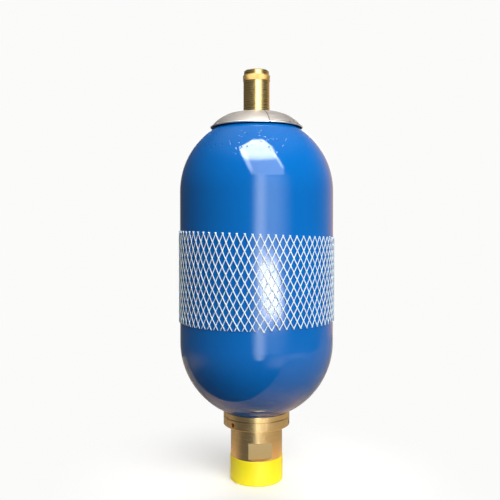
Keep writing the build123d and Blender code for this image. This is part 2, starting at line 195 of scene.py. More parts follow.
pit_depth = add_node(
    tree,
    "ShaderNodeMapRange",
    {0: pit.outputs["Distance"], 1: 0.12, 2: 0.3, 3: -1.0, 4: 0.0},
    interpolation_type="SMOOTHSTEP",
)
height = add_node(tree, "ShaderNodeSeparateXYZ", {0: place}).outputs["Z"]
up_the_shoulder = add_node(
    tree,
    "ShaderNodeMapRange",
    {0: height, 1: pits_start_height, 2: pits_full_height, 3: 0.0, 4: 1.0},
    interpolation_type="SMOOTHSTEP",
)
pits = add_node(
    tree, "ShaderNodeMath", {0: pit_depth.outputs[0], 1: up_the_shoulder.outputs[0]}, operation="MULTIPLY"
)
ripple_bump = add_node(
    tree, "ShaderNodeBump", {"Height": ripple.outputs[0], "Strength": 0.12, "Distance": 0.08 * millimetre}
)
wave_bump = add_node(
    tree,
    "ShaderNodeBump",
    {
        "Height": wave.outputs[0],
        "Strength": 0.5,
        "Distance": 0.3 * millimetre,
        "Normal": ripple_bump.outputs[0],
    },
)
pit_bump = add_node(
    tree,
    "ShaderNodeBump",
    {
        "Height": pits.outputs[0],
        "Strength": 0.8,
        "Distance": 0.25 * millimetre,
        "Normal": wave_bump.outputs[0],
    },
)
tree.links.new(blue.outputs[2], shader.inputs["Base Color"])
tree.links.new(pit_bump.outputs[0], shader.inputs["Normal"])
tree.links.new(pit_bump.outputs[0], shader.inputs["Coat Normal"])
shader.inputs["Roughness"].default_value = 0.5
shader.inputs["Specular IOR Level"].default_value = 0.0
shader.inputs["Coat Weight"].default_value = 1.0
shader.inputs["Coat Roughness"].default_value = 0.05
paint_node("shell", shell_enamel)
print("Enamel: ripple", ripple_size, "m wide, pits", pit_spacing, "m apart on the shoulder")

# %% [markdown]
# The metal pieces are turned on a lathe. The tool leaves fine grooves round the piece, so a highlight
# stretches along the axis and stays narrow round it: that is why a lathe-turned cylinder shows bright
# upright streaks. Anisotropy with a tangent that runs round the axis gives this. The grooves are bump
# rings along the height. Real ones are 0.1 to 0.2 mm apart, too fine to show here, so they are drawn
# 0.4 to 0.6 mm apart. The yellow zinc of the port's pieces is a thin plating over such grooves.

# %% Turned metals


def turned_metal(name, light, dark, roughness, anisotropy, groove, groove_depth, patch):
    """A lathe-turned metal in two shades, with grooves of a pitch and depth in millimetres."""
    material, tree, shader, place = new_material(name)
    height = add_node(tree, "ShaderNodeSeparateXYZ", {0: place}).outputs["Z"]
    up = add_node(tree, "ShaderNodeCombineXYZ", {"Z": height}).outputs[0]
    mottle = add_node(
        tree,
        "ShaderNodeTexNoise",
        {"Vector": place, "Scale": 1 / (patch * millimetre), "Detail": 4.0, "Roughness": 0.6},
    )
    shade = add_node(
        tree,
        "ShaderNodeMix",
        {0: mottle.outputs[0], 6: linear(dark), 7: linear(light)},
        data_type="RGBA",
    )
    rings = add_node(
        tree,
        "ShaderNodeTexNoise",
        {"Vector": up, "Scale": 1 / (groove * millimetre), "Detail": 3.0, "Roughness": 0.7},
    )
    gloss = add_node(
        tree,
        "ShaderNodeMapRange",
        {0: rings.outputs[0], 1: 0.3, 2: 0.7, 3: roughness * 0.8, 4: roughness * 1.25},
    )
    grooves = add_node(
        tree,
        "ShaderNodeBump",
        {"Height": rings.outputs[0], "Strength": 0.5, "Distance": groove_depth * millimetre},
    )
    round_axis = add_node(tree, "ShaderNodeTangent", direction_type="RADIAL", axis="Z")
    tree.links.new(shade.outputs[2], shader.inputs["Base Color"])
    tree.links.new(gloss.outputs[0], shader.inputs["Roughness"])
    tree.links.new(grooves.outputs[0], shader.inputs["Normal"])
    tree.links.new(round_axis.outputs[0], shader.inputs["Tangent"])
    shader.inputs["Metallic"].default_value = 1.0
    shader.inputs["Anisotropic"].default_value = anisotropy
    return material


# Light and dark shade, roughness, anisotropy, then pitch and depth of the grooves and size of the mottle
polished_brass = turned_metal("turned_and_polished_brass", "#e9cf8e", "#dfbf78", 0.26, 0.4, 0.5, 0.02, 14)
yellow_zinc = ("#e2c794", "#cdb07c", 0.24, 0.5, 0.6, 0.05, 9)
plated_steel = turned_metal("turned_steel_with_yellow_zinc", *yellow_zinc)
milled_steel = turned_metal("milled_steel_with_yellow_zinc", *yellow_zinc)
bright_steel = turned_metal("bright_turned_steel", "#a8aaac", "#8f9294", 0.3, 0.6, 0.5, 0.03, 10)
machined_brass = turned_metal("machined_brass", "#d8b25c", "#c0923e", 0.3, 0.5, 0.4, 0.03, 8)
threaded_steel = turned_metal("threaded_steel", "#a8aaac", "#8f9294", 0.3, 0.4, 0.5, 0.03, 10)
threaded_brass = turned_metal("threaded_brass", "#d8b25c", "#c0923e", 0.3, 0.4, 0.4, 0.03, 8)
paint_node("gas_valve_cap", polished_brass)
for name in ("ring_nut", "spacer_ring"):
    paint_node(name, plated_steel)
paint_node("port_body", milled_steel)
for name in (
    "stem_lock_nut",
    "charging_valve_pin",
    "poppet",
    "poppet_lock_nut",
    "support_half_rings",
    "steel_washer",
):
    paint_node(name, bright_steel)
for name in ("charging_valve_retainer", "damping_bush"):
    paint_node(name, machined_brass)
paint_node("bladder_stem", threaded_steel)
paint_node("charging_valve_body", threaded_brass)
print("Turned metals: 7")

# %% [markdown]
# The cap has a knurled band to grip, and two pieces under it have threads. Both are cuts that climb
# round the axis, so one function serves: it works the cut's depth out from the angle round the axis
# and the height. They could be cut into the mesh, but the solids stay as they are, and the cuts are
# shallow enough for bump. A mask keeps each pattern between two heights, and fades over a short way.

# %% Cuts round the axis
run_out = 0.1 * millimetre


def between_heights(tree, place, low, high):
    """1 between two heights and 0 elsewhere."""
    height = add_node(tree, "ShaderNodeSeparateXYZ", {0: place}).outputs["Z"]
    above = add_node(
        tree, "ShaderNodeMapRange", {0: height, 1: low - run_out, 2: low + run_out, 3: 0.0, 4: 1.0}
    )
    below = add_node(
        tree, "ShaderNodeMapRange", {0: height, 1: high - run_out, 2: high + run_out, 3: 1.0, 4: 0.0}
    )
    both = {0: above.outputs[0], 1: below.outputs[0]}
    return add_node(tree, "ShaderNodeMath", both, operation="MULTIPLY").outputs[0]


def slanted_cuts(tree, place, cuts_per_turn, pitch):
    """Cuts that climb round the axis, as a relief from 0 to 0.5."""
    parts = add_node(tree, "ShaderNodeSeparateXYZ", {0: place}).outputs
    angle = add_node(tree, "ShaderNodeMath", {0: parts["Y"], 1: parts["X"]}, operation="ARCTAN2")
    around = add_node(
        tree, "ShaderNodeMath", {0: angle.outputs[0], 1: cuts_per_turn / (2 * pi)}, operation="MULTIPLY"
    )
    climb = add_node(
        tree,
        "ShaderNodeMath",
        {0: parts["Z"], 1: 1 / pitch, 2: around.outputs[0]},
        operation="MULTIPLY_ADD",
    )
    wave = {0: climb.outputs[0], 1: 0.5}
    return add_node(tree, "ShaderNodeMath", wave, operation="PINGPONG").outputs[0]


def shaded_and_roughened(material, where, colour, added_roughness):
    """Paint a darker colour in, as painted shade, and add to a finished metal's roughness where a mask is
    1.
    """
    tree = material.node_tree
    shader = tree.nodes["Principled BSDF"]
    shade = shader.inputs["Base Color"].links[0].from_socket
    gloss = shader.inputs["Roughness"].links[0].from_socket
    mixed = add_node(
        tree, "ShaderNodeMix", {0: where, 6: shade, 7: linear(colour)}, data_type="RGBA"
    )
    rougher = {0: where, 1: added_roughness, 2: gloss}
    rougher = add_node(tree, "ShaderNodeMath", rougher, operation="MULTIPLY_ADD")
    tree.links.new(mixed.outputs[2], shader.inputs["Base Color"])
    tree.links.new(rougher.outputs[0], shader.inputs["Roughness"])


def carve(material, relief, depth):
    """Add a relief to a finished metal, over its own grooves."""
    tree = material.node_tree
    shader = tree.nodes["Principled BSDF"]
    grooves = shader.inputs["Normal"].links[0].from_socket
    bump = add_node(
        tree,
        "ShaderNodeBump",
        {"Height": relief, "Strength": 1.0, "Distance": 2 * depth, "Normal": grooves},
    )
    tree.links.new(bump.outputs[0], shader.inputs["Normal"])


print("Cuts fade over", 2 * run_out, "m at their ends")

# %% [markdown]
# A thread is one cut per turn. A knurl is many, and two sets of them that slant opposite ways leave
# diamonds where they cross. The knurled band is rougher than the bare brass, and is painted darker, as
# painted shade among its diamonds.

# %% Knurl and threads
knurl_cuts = 56
knurl_foot_below_top = 10.4 * millimetre
knurl_head_below_top = 5.1 * millimetre
knurl_pitch = 1.5 * millimetre
knurl_depth = 0.3 * millimetre
thread_pitch = 1.5 * millimetre
thread_depth = 0.8 * millimetre
cap_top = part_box("gas_valve_cap")[1].z
stem_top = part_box("bladder_stem")[1].z
valve_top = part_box("charging_valve_body")[1].z

tree = polished_brass.node_tree
place = tree.nodes["Texture Coordinate"].outputs["Object"]
knurl_foot = cap_top - knurl_foot_below_top
knurl_head = cap_top - knurl_head_below_top
band = between_heights(tree, place, knurl_foot, knurl_head)
left_cuts = slanted_cuts(tree, place, -knurl_cuts, knurl_pitch)
right_cuts = slanted_cuts(tree, place, knurl_cuts, knurl_pitch)
crossed = add_node(tree, "ShaderNodeMath", {0: left_cuts, 1: right_cuts}, operation="MINIMUM")
diamonds = add_node(tree, "ShaderNodeMath", {0: crossed.outputs[0], 1: band}, operation="MULTIPLY")
carve(polished_brass, diamonds.outputs[0], knurl_depth)
# The band's darker colour is painted shade; its added roughness is real.
shaded_and_roughened(polished_brass, band, "#c09c5e", 0.2)

for material, low, high in (
    (threaded_steel, stem_top - 8.0 * millimetre, stem_top - 1.0 * millimetre),
    (threaded_brass, stem_top + 6.0 * millimetre, valve_top - 0.8 * millimetre),
):
    tree = material.node_tree
    place = tree.nodes["Texture Coordinate"].outputs["Object"]
    band = between_heights(tree, place, low, high)
    cut = slanted_cuts(tree, place, -1, thread_pitch)
    thread = add_node(tree, "ShaderNodeMath", {0: cut, 1: band}, operation="MULTIPLY")
    carve(material, thread.outputs[0], thread_depth)
print("Knurl diamonds round the cap:", knurl_cuts, "and threads of pitch", thread_pitch, "m")

# %% [markdown]
# The port body's two spanner flats were milled after turning. Milling leaves a rougher face, and the zinc
# on the flats is painted darker and greener, as painted shade, because they mirror less light than the
# round barrel. The flats are found by where they are: 23 mm from the axis and between two heights.

# %% Milled flats of the port body
flat_distance = 23.0 * millimetre
flat_low = 25.0 * millimetre
flat_high = 42.4 * millimetre
flat_tolerance = 0.04 * millimetre
tree = milled_steel.node_tree
place = tree.nodes["Texture Coordinate"].outputs["Object"]
band = between_heights(tree, place, flat_low, flat_high)
across = add_node(tree, "ShaderNodeSeparateXYZ", {0: place}).outputs["Y"]
outwards = add_node(tree, "ShaderNodeMath", {0: across}, operation="ABSOLUTE").outputs[0]
nearness = {0: outwards, 1: flat_distance, 2: flat_tolerance}
at_flat = add_node(tree, "ShaderNodeMath", nearness, operation="COMPARE").outputs[0]
on_flat = add_node(tree, "ShaderNodeMath", {0: at_flat, 1: band}, operation="MULTIPLY").outputs[0]
# The flats' darker, greener colour is painted shade; their added roughness is real.
shaded_and_roughened(milled_steel, on_flat, "#968660", 0.16)
print("Spanner flats:", flat_distance, "m from the axis")

# %% [markdown]
# The springs are drawn wire, darker than the turned steel, with faint blotches of scale from the
# tempering oven. One noise gives the blotches their shade and their relief.

# %% Drawn spring wire
blotch_size = 1.5 * millimetre
spring_wire, tree, shader, place = new_material("drawn_spring_wire")
scale_marks = add_node(
    tree, "ShaderNodeTexNoise", {"Vector": place, "Scale": 1 / blotch_size, "Detail": 4.0}
)
wire_shade = add_node(
    tree,
    "ShaderNodeMix",
    {0: scale_marks.outputs[0], 6: linear("#6a6d72"), 7: linear("#8a8d92")},
    data_type="RGBA",
)
wire_bump = add_node(
    tree,
    "ShaderNodeBump",
    {"Height": scale_marks.outputs[0], "Strength": 0.2, "Distance": 0.02 * millimetre},
)
tree.links.new(wire_shade.outputs[2], shader.inputs["Base Color"])
tree.links.new(wire_bump.outputs[0], shader.inputs["Normal"])
shader.inputs["Metallic"].default_value = 1.0
shader.inputs["Roughness"].default_value = 0.35
for name in ("charging_valve_spring", "poppet_spring"):
    paint_node(name, spring_wire)
print("Wire: blotches", blotch_size, "m wide")

# %% [markdown]
# The nameplate ring is thin aluminium sheet, pressed and left bare, so it is duller and paler than steel,
# with shallow dents. The sheet's grain is finer than 0.2 mm, and is drawn 0.7 mm wide to show at all. The
# rolled rim is glossier, and is painted near white as a painted highlight; it is found by its distance
# from the axis. The seam where the ends meet is painted dark, as painted shade in its gap. It is 0.5 mm
# wide and drawn 0.9 mm wide, so that it shows.

# %% Pressed aluminium sheet
bead_inner_radius = 45.3 * millimetre
bead_softness = 0.3 * millimetre
seam_angle = radians(7)
seam_half_width = 0.45 * millimetre
aluminium_sheet, tree, shader, place = new_material("pressed_aluminium_sheet")
rolled = add_node(
    tree, "ShaderNodeTexNoise", {"Vector": place, "Scale": 1 / (0.7 * millimetre), "Detail": 5.0}
)
dented = add_node(
    tree, "ShaderNodeTexNoise", {"Vector": place, "Scale": 1 / (16 * millimetre), "Detail": 1.0}
)
sheet_shade = add_node(
    tree,
    "ShaderNodeMix",
    {0: dented.outputs[0], 6: linear("#938d85"), 7: linear("#a19b93")},
    data_type="RGBA",
)
flat_place = add_node(tree, "ShaderNodeVectorMath", {0: place, 1: (1, 1, 0)}, operation="MULTIPLY")
radius = add_node(tree, "ShaderNodeVectorMath", {0: flat_place.outputs[0]}, operation="LENGTH")
bead_start, bead_full = bead_inner_radius, bead_inner_radius + bead_softness
bead = add_node(
    tree,
    "ShaderNodeMapRange",
    {0: radius.outputs["Value"], 1: bead_start, 2: bead_full, 3: 0.0, 4: 1.0},
).outputs[0]
# The rim's near-white colour is a painted highlight.
rim_painted_highlight = add_node(
    tree,
    "ShaderNodeMix",
    {0: bead, 6: sheet_shade.outputs[2], 7: linear("#efedea")},
    data_type="RGBA",
)
beside_seam = add_node(
    tree,
    "ShaderNodeVectorMath",
    {0: place, 1: (cos(seam_angle), sin(seam_angle), 0)},
    operation="DOT_PRODUCT",
)
along_seam = add_node(
    tree,
    "ShaderNodeVectorMath",
    {0: place, 1: (sin(seam_angle), -cos(seam_angle), 0)},
    operation="DOT_PRODUCT",
)
near_seam = add_node(
    tree,
    "ShaderNodeMath",
    {0: beside_seam.outputs["Value"], 1: 0.0, 2: seam_half_width},
    operation="COMPARE",
)
front_half = add_node(
    tree, "ShaderNodeMath", {0: along_seam.outputs["Value"], 1: 0.0}, operation="GREATER_THAN"
)
in_seam = add_node(
    tree, "ShaderNodeMath", {0: near_seam.outputs[0], 1: front_half.outputs[0]}, operation="MULTIPLY"
)
# The seam's dark colour is painted shade in the gap.
seam_painted_shade = add_node(
    tree,
    "ShaderNodeMix",
    {0: in_seam.outputs[0], 6: rim_painted_highlight.outputs[2], 7: linear("#4c463f")},
    data_type="RGBA",
)
grain_gloss = add_node(
    tree, "ShaderNodeMapRange", {0: rolled.outputs[0], 1: 0.3, 2: 0.7, 3: 0.56, 4: 0.7}
)
sheet_gloss = add_node(
    tree, "ShaderNodeMath", {0: bead, 1: -0.25, 2: grain_gloss.outputs[0]}, operation="MULTIPLY_ADD"
)
dents = add_node(
    tree,
    "ShaderNodeBump",
    {"Height": dented.outputs[0], "Strength": 0.8, "Distance": 0.5 * millimetre},
)
grain = add_node(
    tree,
    "ShaderNodeBump",
    {
        "Height": rolled.outputs[0],
        "Strength": 0.2,
        "Distance": 0.02 * millimetre,
        "Normal": dents.outputs[0],
    },
)
tree.links.new(seam_painted_shade.outputs[2], shader.inputs["Base Color"])
tree.links.new(sheet_gloss.outputs[0], shader.inputs["Roughness"])
tree.links.new(grain.outputs[0], shader.inputs["Normal"])
shader.inputs["Metallic"].default_value = 1.0
paint_node("nameplate_ring", aluminium_sheet)
print("Sheet: bright rim from", bead_inner_radius, "m out, seam", 2 * seam_half_width, "m wide")

# %% [markdown]
# The transport cap is soft polyethylene moulded in yellow. Such plastic lets a little light in, which
# fills its own shadows, and its skin is smooth but never mirror-like. The net is extruded from a
# whiter grade of it. The bladder and the seals are moulded rubber: nearly black and matt. The backup
# ring is turned from white PTFE. The grain of such skins is finer than 0.3 mm, and is drawn 0.5 to
# 1.2 mm wide to show at all.

# %% Plastics and rubber
inner_light_reach = (2.0 * millimetre, 1.5 * millimetre, 1.0 * millimetre)


def moulded(name, light, dark, roughness, grain_size, grain_depth, inner_light):
    """A moulded plastic or rubber in two close shades, with a grain in millimetres."""
    material, tree, shader, place = new_material(name)
    cloud = add_node(
        tree, "ShaderNodeTexNoise", {"Vector": place, "Scale": 1 / (20 * millimetre), "Detail": 2.0}
    )
    shade = add_node(
        tree,
        "ShaderNodeMix",
        {0: cloud.outputs[0], 6: linear(dark), 7: linear(light)},
        data_type="RGBA",
    )
    skin = add_node(
        tree,
        "ShaderNodeTexNoise",
        {"Vector": place, "Scale": 1 / (grain_size * millimetre), "Detail": 3.0},
    )
    grain = add_node(
        tree,
        "ShaderNodeBump",
        {"Height": skin.outputs[0], "Strength": 0.3, "Distance": grain_depth * millimetre},
    )
    tree.links.new(shade.outputs[2], shader.inputs["Base Color"])
    tree.links.new(grain.outputs[0], shader.inputs["Normal"])
    shader.inputs["Roughness"].default_value = roughness
    shader.inputs["Subsurface Weight"].default_value = inner_light
    shader.inputs["Subsurface Radius"].default_value = inner_light_reach
    shader.inputs["Subsurface Scale"].default_value = 1.0
    return material


# Light and dark shade, roughness, width and depth of the grain, and how much light is let in
cap_polyethylene = moulded("moulded_yellow_polyethylene", "#fff208", "#ffe600", 0.38, 1.2, 0.03, 0.15)
net_polyethylene = moulded("extruded_white_polyethylene", "#ecfafd", "#e2f3f6", 0.42, 0.8, 0.03, 0.0)
bladder_rubber = moulded("moulded_nitrile_rubber", "#26262a", "#1c1c1f", 0.62, 0.9, 0.05, 0.0)
seal_rubber = moulded("seal_rubber", "#1e1e20", "#161618", 0.5, 0.6, 0.02, 0.0)
backup_ptfe = moulded("turned_white_ptfe", "#ece6da", "#e0d8c8", 0.5, 0.5, 0.02, 0.1)
paint_node("thread_cap", cap_polyethylene)
paint_node("bladder", bladder_rubber)
for name in ("stem_o_ring", "charging_valve_seal", "support_ring_rubber", "port_o_ring"):
    paint_node(name, seal_rubber)
paint_node("backup_ring", backup_ptfe)
print("Plastics and rubbers: 5")

# %% [markdown]
# The protection net is a plastic hose of two layers of strands, extruded at opposite slants and
# welded where they cross. It could be a flat grid wrapped round by a modifier, but then the strands
# would be even. Here one strand of each layer is drawn as it is extruded: a small oval ring is pushed
# on step by step round the vessel and up, and swells at each weld. Spin then copies it round the axis.

# %% Protection net
net_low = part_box("net_sleeve")[0].z
net_columns = 69
half_rows = 13
steps_per_half_row = 4
strand_thickness = 0.76 * millimetre
outer_layer_radius = 76.98 * millimetre
inner_layer_radius = 76.58 * millimetre
outer_strand_width = 1.4 * millimetre
inner_strand_width = 1.25 * millimetre
half_row_height = 6.82 * millimetre
half_column_angle = radians(180 / net_columns)
slant = atan(half_column_angle * outer_layer_radius / half_row_height)
weld_swelling = {0: 1.35, 1: 1.08, 2: 1.0, 3: 1.08}
corners_of_a_cut_end = 6


def finished_piece(name, bm, material, node):
    """Turn a finished bmesh into the piece that stands for a CAD node. Its cut ends stay flat."""
    bmesh.ops.recalc_face_normals(bm, faces=bm.faces[:])
    for face in bm.faces:
        face.smooth = len(face.verts) < corners_of_a_cut_end
    mesh = bpy.data.meshes.new(name)
    bm.to_mesh(mesh)
    bm.free()
    piece = bpy.data.objects.new(name, mesh)
    scene.collection.objects.link(piece)
    mesh.materials.append(material)
    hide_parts(node)
    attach(piece, "vessel")
    return piece


def extrude_strand(bm, layer_radius, width, turn, start_z):
    """One strand from start_z upwards. turn is 1 when it goes counterclockwise as it climbs."""
    ring = bmesh.ops.create_circle(bm, radius=0.5, segments=8)["verts"]
    bmesh.ops.scale(bm, verts=ring, vec=(strand_thickness, width, 1.0))
    bmesh.ops.rotate(bm, verts=ring, matrix=Matrix.Rotation(-turn * slant, 3, "X"))
    bmesh.ops.translate(bm, verts=ring, vec=(layer_radius, 0, start_z))
    edges = list({edge for vert in ring for edge in vert.link_edges})
    for step in range((half_rows + 3) * steps_per_half_row):
        swell = weld_swelling[(step + 1) % steps_per_half_row] / weld_swelling[step % steps_per_half_row]
        grown = bmesh.ops.extrude_edge_only(bm, edges=edges)["geom"]
        ring = [part for part in grown if isinstance(part, bmesh.types.BMVert)]
        edges = [part for part in grown if isinstance(part, bmesh.types.BMEdge)]
        bmesh.ops.rotate(
            bm,
            verts=ring,
            matrix=Matrix.Rotation(turn * half_column_angle / steps_per_half_row, 3, "Z"),
        )
        bmesh.ops.translate(bm, verts=ring, vec=(0, 0, half_row_height / steps_per_half_row))
        centre = sum((vert.co for vert in ring), Vector()) / len(ring)
        bmesh.ops.scale(bm, verts=ring, vec=(swell, swell, swell), space=Matrix.Translation(-centre))


weld_z = net_low + 0.5 * millimetre
strand_start_z = weld_z - 2 * half_row_height
bm = bmesh.new()
extrude_strand(bm, outer_layer_radius, outer_strand_width, -1, strand_start_z)
extrude_strand(bm, inner_layer_radius, inner_strand_width, 1, strand_start_z)
bmesh.ops.spin(
    bm,
    geom=bm.verts[:] + bm.edges[:] + bm.faces[:],
    cent=(0, 0, 0),
    axis=(0, 0, 1),
    angle=radians(360 * (net_columns - 1) / net_columns),
    steps=net_columns - 1,
    use_duplicate=True,
)
print("Net strands before the cut:", 2 * net_columns, "faces:", len(bm.faces))

# %% [markdown]
# The net was cut by hand, a hair out of true to its mesh: on the right the lower edge ends in closed
# points just below a row of welds, and on the left the cut ran above that row and left open legs. The
# upper edge is drawn down on the right, and the lower edge up. On the left the middle rows sag, so the
# meshes are drawn out above and short below. All strands wander a little, by a smooth noise. Each shift
# is in millimetres, and side goes from -1 on the left to 1 on the right.

# %% Cut and settle the net


def eased(inside, softness):
    """Rises smoothly from 0 at an edge to 1 further in."""
    share = min(1.0, inside / softness)
    return share * share * (3 - 2 * share)


top_weld_z = weld_z + half_rows * half_row_height
all_round = 1.0
left_part = -11 * millimetre
wander_waves_per_metre = 60
wander_width = 0.6 * millimetre
for height, normal, right_end in (
    (weld_z - 0.6 * millimetre, (0, 0, -1), all_round),
    (weld_z + 2.0 * millimetre, (0, 0, -1), left_part),
    (top_weld_z + 1.0 * millimetre, (0, 0, 1), all_round),
):
    cut_verts = [vert for vert in bm.verts if vert.co.x < right_end]
    cut_edges = [edge for edge in bm.edges if all(vert.co.x < right_end for vert in edge.verts)]
    cut_faces = [face for face in bm.faces if all(vert.co.x < right_end for vert in face.verts)]
    bmesh.ops.bisect_plane(
        bm,
        geom=cut_verts + cut_edges + cut_faces,
        plane_co=(0, 0, height),
        plane_no=normal,
        clear_outer=True,
    )
bmesh.ops.holes_fill(bm, edges=[edge for edge in bm.edges if edge.is_boundary], sides=0)
for vert in bm.verts:
    radius = hypot(vert.co.x, vert.co.y)
    wander = noise.noise(vert.co * wander_waves_per_metre) * wander_width
    turned = atan2(vert.co.y, vert.co.x) + wander / radius
    side = vert.co.x / radius
    share = (vert.co.z - weld_z) / (top_weld_z - weld_z)
    drawn_up = eased(max(0.0, side + 0.2), 0.3)
    low_edge_shift = 3.1 * drawn_up + 0.4 * side - 2.3
    high_edge_shift = -3.6 - 2.85 * side
    drawn_out = max(0.0, min(1.0, 1 - 2 * side))
    sag = -9.9 * drawn_out * share * (1 - share)
    settled = (low_edge_shift * (1 - share) + high_edge_shift * share + sag) * millimetre
    vert.co = (radius * cos(turned), radius * sin(turned), vert.co.z + settled)
net = finished_piece("protection_net", bm, net_polyethylene, "net_sleeve")
print("Net triangles:", sum(len(p.vertices) - 2 for p in net.data.polygons))

# %% [markdown]
# The two springs get shorter when their valve is pressed, which a rigid solid can't do. So each is wound
# anew here: a ring is spun round the axis and raised a little at each step, and the ends are cut flat, as
# they are ground on a real spring.

# %% Springs
spring_turns = 5
steps_per_turn = 24


def wound_spring(name, node, wire_radius):
    """A spring wound in place of its CAD node."""
    low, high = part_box(node)
    length = high.z - low.z
    coil_radius = high.x - wire_radius
    slope = atan(length / (spring_turns * 2 * pi * coil_radius))
    steps = spring_turns * steps_per_turn
    bm = bmesh.new()
    bmesh.ops.create_circle(bm, radius=wire_radius, segments=12)
    bmesh.ops.rotate(bm, verts=bm.verts[:], matrix=Matrix.Rotation(pi / 2 + slope, 3, "X"))
    bmesh.ops.translate(bm, verts=bm.verts[:], vec=(coil_radius, 0, low.z))
    bmesh.ops.spin(
        bm,
        geom=bm.verts[:] + bm.edges[:],
        cent=(0, 0, 0),
        axis=(0, 0, 1),
        dvec=(0, 0, length / steps),
        angle=2 * pi * spring_turns,
        steps=steps,
    )
    bmesh.ops.holes_fill(bm, edges=[edge for edge in bm.edges if edge.is_boundary], sides=0)
    for end, normal in ((low.z, (0, 0, -1)), (high.z, (0, 0, 1))):
        bmesh.ops.bisect_plane(
            bm,
            geom=bm.verts[:] + bm.edges[:] + bm.faces[:],
            plane_co=(0, 0, end),
            plane_no=normal,
            clear_outer=True,
        )
        bmesh.ops.holes_fill(bm, edges=[edge for edge in bm.edges if edge.is_boundary], sides=0)
    spring = finished_piece(name, bm, spring_wire, node)
    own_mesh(spring)


wound_spring("wound_poppet_spring", "poppet_spring", 0.8 * millimetre)
wound_spring("wound_valve_spring", "charging_valve_spring", 0.4 * millimetre)

# %% [markdown]
# The studio has two surfaces. Pale paper takes the vessel's shadow near it, and blends into an even glow
# further out, so that floor and backdrop meet without an edge. A tan board is what gloss mirrors below
# the vessel. It is painted paler near the vessel and greyer further out, as a painted pool of light round
# the vessel.

# %% Paper and board
shaded_paper_radius = 0.03
glowing_paper_radius = 0.22
board_painted_light_radius = 0.08
board_painted_dim_radius = 0.16
paper, tree, shader, place = new_material("pale_paper")
far = add_node(tree, "ShaderNodeVectorMath", {0: place}, operation="LENGTH")
blend_out = add_node(
    tree,
    "ShaderNodeMapRange",
    {0: far.outputs["Value"], 1: shaded_paper_radius, 2: glowing_paper_radius, 3: 0.2, 4: 1.0},
    interpolation_type="SMOOTHSTEP",
)
shader.inputs["Base Color"].default_value = linear("#f4f3f0")
shader.inputs["Roughness"].default_value = 0.9
glow = add_node(tree, "ShaderNodeEmission", {"Color": linear("#fbfbfa"), "Strength": 1.0})
mixed = add_node(
    tree, "ShaderNodeMixShader", {0: blend_out.outputs[0], 1: shader.outputs[0], 2: glow.outputs[0]}
)
tree.links.new(mixed.outputs[0], tree.nodes["Material Output"].inputs["Surface"])

board, tree, shader, place = new_material("tan_board")
fibre = add_node(
    tree, "ShaderNodeTexNoise", {"Vector": place, "Scale": 1 / (6 * millimetre), "Detail": 3.0}
)
tan = add_node(
    tree,
    "ShaderNodeMix",
    {0: fibre.outputs[0], 6: linear("#efc592"), 7: linear("#f4cea0")},
    data_type="RGBA",
)
far = add_node(tree, "ShaderNodeVectorMath", {0: place}, operation="LENGTH")
further_out = add_node(
    tree,
    "ShaderNodeMapRange",
    {0: far.outputs["Value"], 1: board_painted_light_radius, 2: board_painted_dim_radius, 3: 0.0, 4: 1.0},
    interpolation_type="SMOOTHSTEP",
)
# The board's paler middle and greyer outside are painted light, a pool round the vessel.
board_with_painted_light = add_node(
    tree,
    "ShaderNodeMix",
    {0: further_out.outputs[0], 6: tan.outputs[2], 7: linear("#aa9c84")},
    data_type="RGBA",
)
tree.links.new(board_with_painted_light.outputs[2], shader.inputs["Base Color"])
shader.inputs["Roughness"].default_value = 0.9
print("Paper glows from", glowing_paper_radius, "m out")

# %% [markdown]
# Polished metal only looks like metal when it has something dark beside the bright things that it
# mirrors, so the room stays dim. The floor and the backdrop are only there for the camera, or they
# would wash the metal out. The board is only there for gloss, and its edge runs slantwise in front of
# the vessel. A small pale disc under the vessel is there only for paint and plastic, which it lights
# from below.

# %% Floor and backdrop


def stage_piece(name, bm, material):
    """Link a finished bmesh as part of the studio."""
    mesh = bpy.data.meshes.new(name)
    bm.to_mesh(mesh)
    bm.free()
    piece = bpy.data.objects.new(name, mesh)
    scene.collection.objects.link(piece)
    mesh.materials.append(material)
    return piece


board_half = 0.5
board_edge = 0.064
board_turn = -43
board_depth = -0.1 * millimetre
disc_radius = 0.07
disc_depth = -0.05 * millimetre
room_radius = 4.0
bm = bmesh.new()
bmesh.ops.create_grid(bm, x_segments=1, y_segments=1, size=board_half)
bmesh.ops.translate(bm, verts=bm.verts[:], vec=(0, board_half - board_edge, board_depth))
bmesh.ops.rotate(
    bm, verts=bm.verts[:], matrix=Matrix.Rotation(radians(camera_azimuth + board_turn), 3, "Z")
)
tan_board = stage_piece("tan_board", bm, board)
tan_board.visible_camera = False
tan_board.visible_diffuse = False
tan_board.visible_shadow = False

bm = bmesh.new()
bmesh.ops.create_circle(bm, cap_ends=True, segments=64, radius=disc_radius)
bmesh.ops.translate(bm, verts=bm.verts[:], vec=(0, 0, disc_depth))
bounce = stage_piece("floor_bounce", bm, paper)
bounce.visible_camera = False
bounce.visible_glossy = False
bounce.visible_shadow = False

bm = bmesh.new()
bmesh.ops.create_circle(bm, cap_ends=True, segments=96, radius=room_radius)
surround = stage_piece("floor_surround", bm, paper)
surround.visible_glossy = False
surround.visible_diffuse = False
surround.visible_shadow = False

bm = bmesh.new()
bmesh.ops.create_uvsphere(bm, u_segments=48, v_segments=24, radius=room_radius)
backdrop = stage_piece("backdrop", bm, paper)
backdrop.visible_glossy = False
backdrop.visible_diffuse = False
backdrop.visible_shadow = False
print("Studio: board, disc, surround, backdrop")

